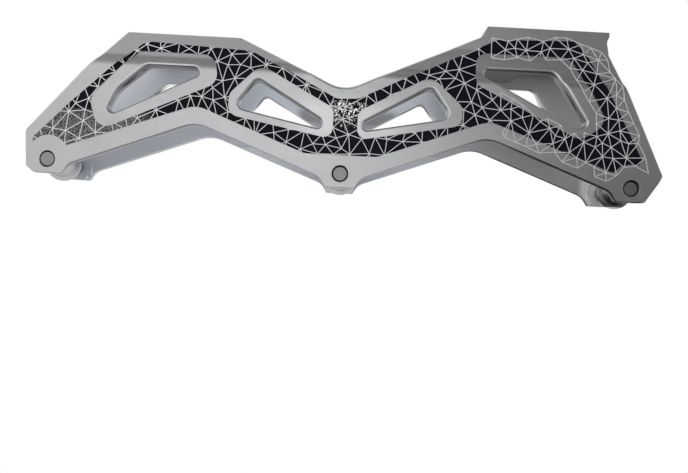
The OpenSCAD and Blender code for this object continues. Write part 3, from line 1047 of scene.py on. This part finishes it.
# %% Cards
BLACK_CARD = (0.05, 0.05, 0.05, 1)
HEEL_CARD = (0.1, 0.1, 0.1, 1)
DARK_CARD = (0.22, 0.22, 0.22, 1)
GREY_CARD = (0.48, 0.48, 0.48, 1)
mat_z = floor_z + MM
CARDS = {
    "right_flag": (
        BLACK_CARD, [(0.15, -1.0, 0.15), (1.0, -0.9, 0.15), (1.0, -0.9, 0.8), (0.15, -1.0, 0.8)],
    ),
    "right_skirt": (
        HEEL_CARD, [(0.3, -1.0, floor_z), (1.0, -0.9, floor_z), (1.0, -0.9, 0.15), (0.3, -1.0, 0.15)],
    ),
    "right_mat": (
        HEEL_CARD, [(0.3, -1.0, mat_z), (1.6, -0.8, mat_z), (1.6, 0.3, mat_z), (0.1, 0.3, mat_z)],
    ),
    "top_flag": (
        GREY_CARD, [(-0.9, -1.15, 0.55), (0.1, -1.15, 0.55), (0.1, -0.6, 0.78), (-0.9, -0.6, 0.78)],
    ),
    "roof_flag": (
        DARK_CARD, [(-0.9, -0.6, 0.78), (0.1, -0.6, 0.78), (0.1, -0.1, 1.0), (-0.9, -0.1, 1.0)],
    ),
    "heel_flag": (
        HEEL_CARD, [(0.1, -1.15, 0.55), (1.2, -1.15, 0.55), (1.2, -0.1, 1.0), (0.1, -0.1, 1.0)],
    ),
}
for name, (colour, corners) in CARDS.items():
    card(name, corners, colour, seen=False)
print("cards:", list(CARDS))

# %% [markdown]
# The world is an even soft light. What the camera sees of it directly, in a reflection or through a surface
# is pure white instead, so the ground is white while the soft light on the object stays a little weaker.

# %% World
SOFT_LIGHT = 0.9
world = bpy.data.worlds.new("white_studio")
scene.world = world
world.use_nodes = True
tree = world.node_tree
soft = tree.nodes["Background"]
soft.inputs["Color"].default_value = WHITE
soft.inputs["Strength"].default_value = SOFT_LIGHT
white = node(tree, "ShaderNodeBackground", Color=WHITE, Strength=1.0)
path = node(tree, "ShaderNodeLightPath")
looking = path.outputs["Is Camera Ray"]
for ray in ("Is Glossy Ray", "Is Transmission Ray"):
    either = node(tree, "ShaderNodeMath", operation="MAXIMUM")
    tree.links.new(looking, either.inputs[0])
    tree.links.new(path.outputs[ray], either.inputs[1])
    looking = either.outputs["Value"]
sky = mixed_shader(tree, looking, soft.outputs["Background"], white.outputs["Background"])
tree.links.new(sky, tree.nodes["World Output"].inputs["Surface"])
print("world:", world.name)

# %% [markdown]
# Three soft boxes add shape to the even light: a large weak one from the left, a small one in front for the
# middle of the frame, and a strong one behind and above for the decks and the far wall.

# %% Lamps
LAMP_AIM = Vector((0.07, 0, -0.03))


def softbox(name, place, size, power):
    lamp = bpy.data.lights.new(name, "AREA")
    lamp.shape = "DISK"
    lamp.size = size
    lamp.energy = power
    made = bpy.data.objects.new(name, lamp)
    made.location = place
    made.rotation_euler = (LAMP_AIM - Vector(place)).to_track_quat("-Z", "Y").to_euler()
    scene.collection.objects.link(made)


softbox("left_box", (-0.35, -1.0, 0.15), size=0.8, power=0.35)
softbox("front_box", (0.03, -1.0, 0.02), size=0.16, power=0.4)
softbox("back_box", (0.3, 0.9, 0.8), size=0.8, power=2.2)

# %% [markdown]
# ## Camera
# The camera's place and lens come from fitting the drawing's outline to the photograph: it looks straight
# across the frame from about a third of a metre, and is turned by three degrees, so the frame runs slightly
# downhill.

# %% Camera
CAMERA_AT = (1.24, -300.0, -31.0)
CAMERA_ROLL = 0.0508
CAMERA_YAW = -0.0075
CAMERA_LENS = 33.78
CAMERA_SENSOR = 36
CAMERA_RISE = 0.012
CAMERA_NEAREST = 0.01
camera = bpy.data.cameras.new("camera")
camera.lens = CAMERA_LENS
camera.shift_y = CAMERA_RISE
camera.sensor_width = CAMERA_SENSOR
camera.clip_start = CAMERA_NEAREST
eye = bpy.data.objects.new("camera", camera)
level_gaze = Matrix.Rotation(math.pi / 2, 4, "X")
turn = Matrix.Rotation(CAMERA_YAW, 4, "Z") @ level_gaze @ Matrix.Rotation(CAMERA_ROLL, 4, "Z")
eye.matrix_world = Matrix.Translation(row(*CAMERA_AT)) @ turn
scene.collection.objects.link(eye)
scene.camera = eye
print("camera at", [round(v, 3) for v in eye.matrix_world.translation])
